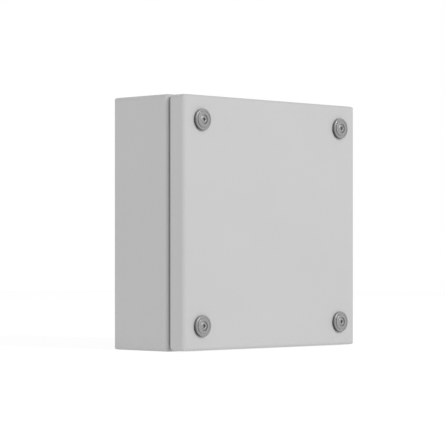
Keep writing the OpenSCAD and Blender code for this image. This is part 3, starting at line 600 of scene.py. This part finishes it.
def tool_rings(tree, slope):
    """Distance and direction from the nearest screw axis, the tool's rings and a normal that they tilt.

    The four quarters of the cover are folded on to one, so that one axis serves all four screws.
    """
    place = add(tree, "ShaderNodeTexCoord").outputs["Object"]
    flat = add(tree, "ShaderNodeVectorMath", {"operation": "MULTIPLY", 1: (1, 0, 1)}, {0: place})
    folded = add(tree, "ShaderNodeVectorMath", {"operation": "ABSOLUTE"}, {0: flat})
    side = add(tree, "ShaderNodeVectorMath", {"operation": "SIGN"}, {0: flat})
    off = add(tree, "ShaderNodeVectorMath",
              {"operation": "SUBTRACT", 1: (screw_from_middle, 0, screw_from_middle)}, {0: folded})
    distance = add(tree, "ShaderNodeVectorMath", {"operation": "LENGTH"}, {0: off}).outputs["Value"]
    unit = add(tree, "ShaderNodeVectorMath", {"operation": "NORMALIZE"}, {0: off})
    outward = add(tree, "ShaderNodeVectorMath", {"operation": "MULTIPLY"}, {0: unit, 1: side})
    turned_outward = add(tree, "ShaderNodeVectorTransform",
                         {"vector_type": "VECTOR", "convert_from": "OBJECT", "convert_to": "WORLD"},
                         {0: outward})
    ring_number = add(tree, "ShaderNodeMath", {"operation": "MULTIPLY", 1: 1 / TURNING_RING}, {0: distance})
    rings = add(tree, "ShaderNodeTexNoise",
                {"noise_dimensions": "1D", "Scale": 1.0, "Detail": 3.0, "Roughness": 0.6},
                {"W": ring_number})
    lean = add(tree, "ShaderNodeMapRange", {**RING_SPAN, "To Min": -slope, "To Max": slope},
               {"Value": rings})
    leaning = add(tree, "ShaderNodeVectorMath", {"operation": "SCALE"}, {0: turned_outward, "Scale": lean})
    face_normal = add(tree, "ShaderNodeNewGeometry").outputs["Normal"]
    tilted = add(tree, "ShaderNodeVectorMath", {"operation": "ADD"}, {0: face_normal, 1: leaning})
    normal = add(tree, "ShaderNodeVectorMath", {"operation": "NORMALIZE"}, {0: tilted})
    return distance, outward, rings, normal


turned_steel, lathe = material_for("turned_phosphated_steel")
distance, outward, rings, normal = tool_rings(lathe, TURNING_SLOPE)
# Painted shade: the flange's edge is darkened, more towards the lower left and less towards the upper
# right.
edge_shade_share = add(lathe, "ShaderNodeMapRange", {"From Min": flange_r - EDGE_SHADE_W, "From Max": flange_r},
                 {"Value": distance})
towards_light = add(lathe, "ShaderNodeVectorMath", {"operation": "DOT_PRODUCT", 1: TOWARDS_EDGE_LIGHT}, {0: outward})
edge_lit_share = add(lathe, "ShaderNodeMapRange", {"From Min": -1.0, "From Max": 1.0},
              {"Value": towards_light.outputs["Value"]})
painted_edge_shade = add(lathe, "ShaderNodeMix",
                {"data_type": "RGBA", 6: linear(EDGE_SHADE_DARKEST), 7: linear(EDGE_SHADE_LIGHTEST)}, {0: edge_lit_share})
feed_number = add(lathe, "ShaderNodeMath", {"operation": "MULTIPLY", 1: 1 / FEED_RING}, {0: distance})
feed = add(lathe, "ShaderNodeTexNoise", {"noise_dimensions": "1D", "Scale": 1.0, "Detail": 1.0},
           {"W": feed_number})
feed_tone = add(lathe, "ShaderNodeMapRange", {**NOISE_SPAN, "To Min": FEED_DARKER, "To Max": FEED_LIGHTER},
                {"Value": feed})
# Painted light that lifts the shade in the groove round the boss and at the seat's mouth.
from_ring = add(lathe, "ShaderNodeMath", {"operation": "SUBTRACT", 1: LIT_RING_R}, {0: distance})
off_ring = add(lathe, "ShaderNodeMath", {"operation": "ABSOLUTE"}, {0: from_ring})
ring_painted_light = add(lathe, "ShaderNodeMapRange",
               {"From Max": LIT_RING_W, "To Min": PAINTED_LIGHT_GAIN, "To Max": 1.0}, {"Value": off_ring})
seat_painted_light = add(lathe, "ShaderNodeMapRange", {
    "From Min": SEAT_R, "From Max": SEAT_R + SEAT_LIT_W, "To Min": PAINTED_LIGHT_GAIN, "To Max": 1.0},
    {"Value": distance})
painted_light = add(lathe, "ShaderNodeMath", {"operation": "MULTIPLY"}, {0: ring_painted_light, 1: seat_painted_light})
tone = add(lathe, "ShaderNodeMath", {"operation": "MULTIPLY"}, {0: painted_light, 1: feed_tone})
bright = add(lathe, "ShaderNodeVectorMath", {"operation": "SCALE", 0: linear(FERRULE_GREY)[:3]},
             {"Scale": tone})
tint = add(lathe, "ShaderNodeMix", {"data_type": "RGBA"},
           {0: edge_shade_share, 6: bright, 7: painted_edge_shade.outputs[2]})
sheen = add(lathe, "ShaderNodeMapRange",
            {**NOISE_SPAN, "To Min": FERRULE_SMOOTHEST, "To Max": FERRULE_ROUGHEST}, {"Value": rings})
metal = add(lathe, "ShaderNodeBsdfPrincipled", {"Metallic": 0.6},
            {"Base Color": tint.outputs[2], "Roughness": sheen, "Normal": normal})
add(lathe, "ShaderNodeOutputMaterial", links={"Surface": metal})
dress(turned_steel, *(f"screw_ferrule_{corner}" for corner in CORNERS))

# Rings at the ferrules: sealing rings under the flanges, cut from a nitrile rubber tube, and push-on rings
# of zinc plated spring steel behind the cover's sheet.
NITRILE_BLACK, CUT_MARK, CUT_MARK_DEPTH = "#262626", 0.4 * MM, 0.02 * MM

nitrile, ring_rubber = material_for("nitrile_rubber")
place = add(ring_rubber, "ShaderNodeTexCoord").outputs["Object"]
cuts = add(ring_rubber, "ShaderNodeTexNoise", {"Scale": 1 / CUT_MARK, "Detail": 2.0}, {"Vector": place})
skin = add(ring_rubber, "ShaderNodeBump", {"Strength": 0.5, "Distance": CUT_MARK_DEPTH}, {"Height": cuts})
rubber = add(ring_rubber, "ShaderNodeBsdfPrincipled",
             {"Base Color": linear(NITRILE_BLACK), "Roughness": 0.6}, {"Normal": skin})
add(ring_rubber, "ShaderNodeOutputMaterial", links={"Surface": rubber})
dress(nitrile, *(f"ferrule_seal_{corner}" for corner in CORNERS))
dress(zinc_plate, *(f"lock_ring_{corner}" for corner in CORNERS))

# Cover screws: M4 screws with a low domed head and a hexagon socket, held in the ferrules by their waist.
# The head is turned and the thread is rolled. All of it has the thin grey skin of the phosphate bath, and
# the
# socket is painted a lighter grey: painted light against the shade deep inside it.
SCREW_SEGMENTS = 60
SCREW_R, SCREW_PITCH, SCREW_THREAD_DEPTH, SCREW_TIP = 2.0 * MM, 0.7 * MM, 0.42 * MM, 0.7 * MM
SCREW_THREAD_L, THREAD_RUNOUT = 11.45 * MM, 0.3 * MM
WAIST_R, WAIST_SHOULDER, NECK_ROUND = 1.45 * MM, 0.1 * MM, 0.2 * MM
HEAD_R, HEAD_SIDE_H, HEAD_CHAMFER = 3.5 * MM, 2.4 * MM, 0.15 * MM
HEAD_ROUND, HEAD_ROUND_IN, HEAD_ROUND_DOWN = 0.25 * MM, 0.075 * MM, 0.05 * MM
DOME_H, DOME_MIDDLE_RADII = 0.6 * MM, (2.8 * MM, 2.4 * MM)
SOCKET_KEY, SOCKET_DEPTH, SOCKET_BEVEL, SOCKET_CONE = 3.0 * MM, 2.0 * MM, 0.2 * MM, 0.35 * MM
SOCKET_R = SOCKET_KEY / 2 / math.cos(math.radians(30))
SOCKET_BLEND = 0.3 * MM
SCREW_GREY, SOCKET_LIFTED_GREY = "#989898", "#a2a2a2"
SCREW_DARKER, SCREW_LIGHTER = 0.85, 1.1
SCREW_RING_SHARE = 0.7

screw_steel, screw = material_for("rolled_phosphated_steel")
distance, _, rings, normal = tool_rings(screw, TURNING_SLOPE * SCREW_RING_SHARE)
tone = add(screw, "ShaderNodeMapRange", {**NOISE_SPAN, "To Min": SCREW_DARKER, "To Max": SCREW_LIGHTER},
           {"Value": rings})
tint = add(screw, "ShaderNodeVectorMath", {"operation": "SCALE", 0: linear(SCREW_GREY)[:3]},
           {"Scale": tone})
# Painted light: inside the hexagon socket the grey is lighter than the head's, to lift the shade in it.
in_socket = add(screw, "ShaderNodeMapRange", {"From Min": SOCKET_R + SOCKET_BLEND, "From Max": SOCKET_R},
                {"Value": distance})
socket_painted_light = add(screw, "ShaderNodeMix", {"data_type": "RGBA", 7: linear(SOCKET_LIFTED_GREY)}, {0: in_socket, 6: tint})
metal = add(screw, "ShaderNodeBsdfPrincipled", {"Metallic": 0.6, "Roughness": 0.42},
            {"Base Color": socket_painted_light.outputs[2], "Normal": normal})
add(screw, "ShaderNodeOutputMaterial", links={"Surface": metal})

dome_bend_r = (HEAD_R ** 2 + DOME_H ** 2) / (2 * DOME_H)
dome_radii = (HEAD_R - HEAD_ROUND, *DOME_MIDDLE_RADII, SOCKET_R + SOCKET_BEVEL)
for corner in CORNERS:
    node = f"cover_screw_{corner}"
    low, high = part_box(node)
    tip, top = -high.y, -low.y
    waist_back = tip + SCREW_THREAD_L
    head_side_end = top - DOME_H
    head_foot = head_side_end - HEAD_SIDE_H
    dome = [(r, top - dome_bend_r + math.sqrt(dome_bend_r ** 2 - r ** 2), 0, 0) for r in dome_radii]
    socket_mouth = dome[-1][1] - SOCKET_BEVEL
    screw_profile = [
        (0, tip, 0, 0),
        (SCREW_R - SCREW_TIP, tip, 0, 0),
        *thread_rows(SCREW_R, tip + SCREW_TIP, waist_back - THREAD_RUNOUT, SCREW_PITCH),
        (WAIST_R + WAIST_SHOULDER, waist_back, 0, 0),
        (WAIST_R, waist_back + NECK_ROUND, 0, 0),
        (WAIST_R, head_foot - NECK_ROUND, 0, 0),
        (WAIST_R + NECK_ROUND, head_foot, 0, 0),
        (HEAD_R - HEAD_CHAMFER, head_foot, 0, 0),
        (HEAD_R, head_foot + HEAD_CHAMFER, 0, 0),
        (HEAD_R, head_side_end - HEAD_ROUND, 0, 0),
        (HEAD_R - HEAD_ROUND_IN, head_side_end - HEAD_ROUND_DOWN, 0, 0),
        *dome,
        (SOCKET_R, socket_mouth, 0, 1),
        (SOCKET_R, top - SOCKET_DEPTH, 0, 1),
        (0, top - SOCKET_DEPTH - SOCKET_CONE, 0, 0)]
    cover_screw = turned(f"{node}_threaded", screw_profile, node, screw_steel, SCREW_SEGMENTS, SCREW_PITCH,
                         SCREW_THREAD_DEPTH)
    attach(cover_screw, f"screw_{corner}")

low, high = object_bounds()
